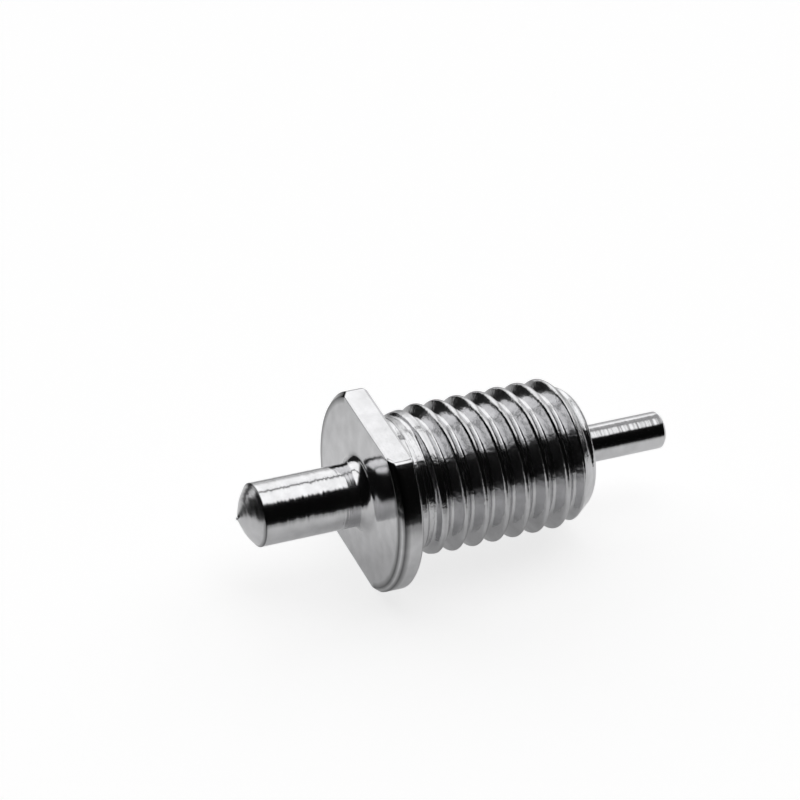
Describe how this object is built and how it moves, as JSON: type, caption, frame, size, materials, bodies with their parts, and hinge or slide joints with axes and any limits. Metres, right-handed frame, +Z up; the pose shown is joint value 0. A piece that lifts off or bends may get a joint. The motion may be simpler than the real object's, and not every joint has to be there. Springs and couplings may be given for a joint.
{
  "type": "wrench pin",
  "caption": "Turned steel wrench pin: a large pin and a small pin at the ends of a threaded shank, and a flange with wrench flats to screw it in by.",
  "frame": {"origin": "middle of the part's footprint, on the surface that it lies on", "axes": "+X along the pin towards the small pin's end, dipping 2 degrees from the axis because the part lies on its lower wrench flat's edge and its thread; +Z up, square to the flats at rest; +Y across"},
  "size_m": [0.0364, 0.0158, 0.0129],
  "materials": {
    "plated_steel": "bright plated steel, turned and rolled, near-mirror on the pins and satin on the flange"
  },
  "bodies": {
    "root": {"wrench_pin": "plated_steel"}
  },
  "joints": []
}
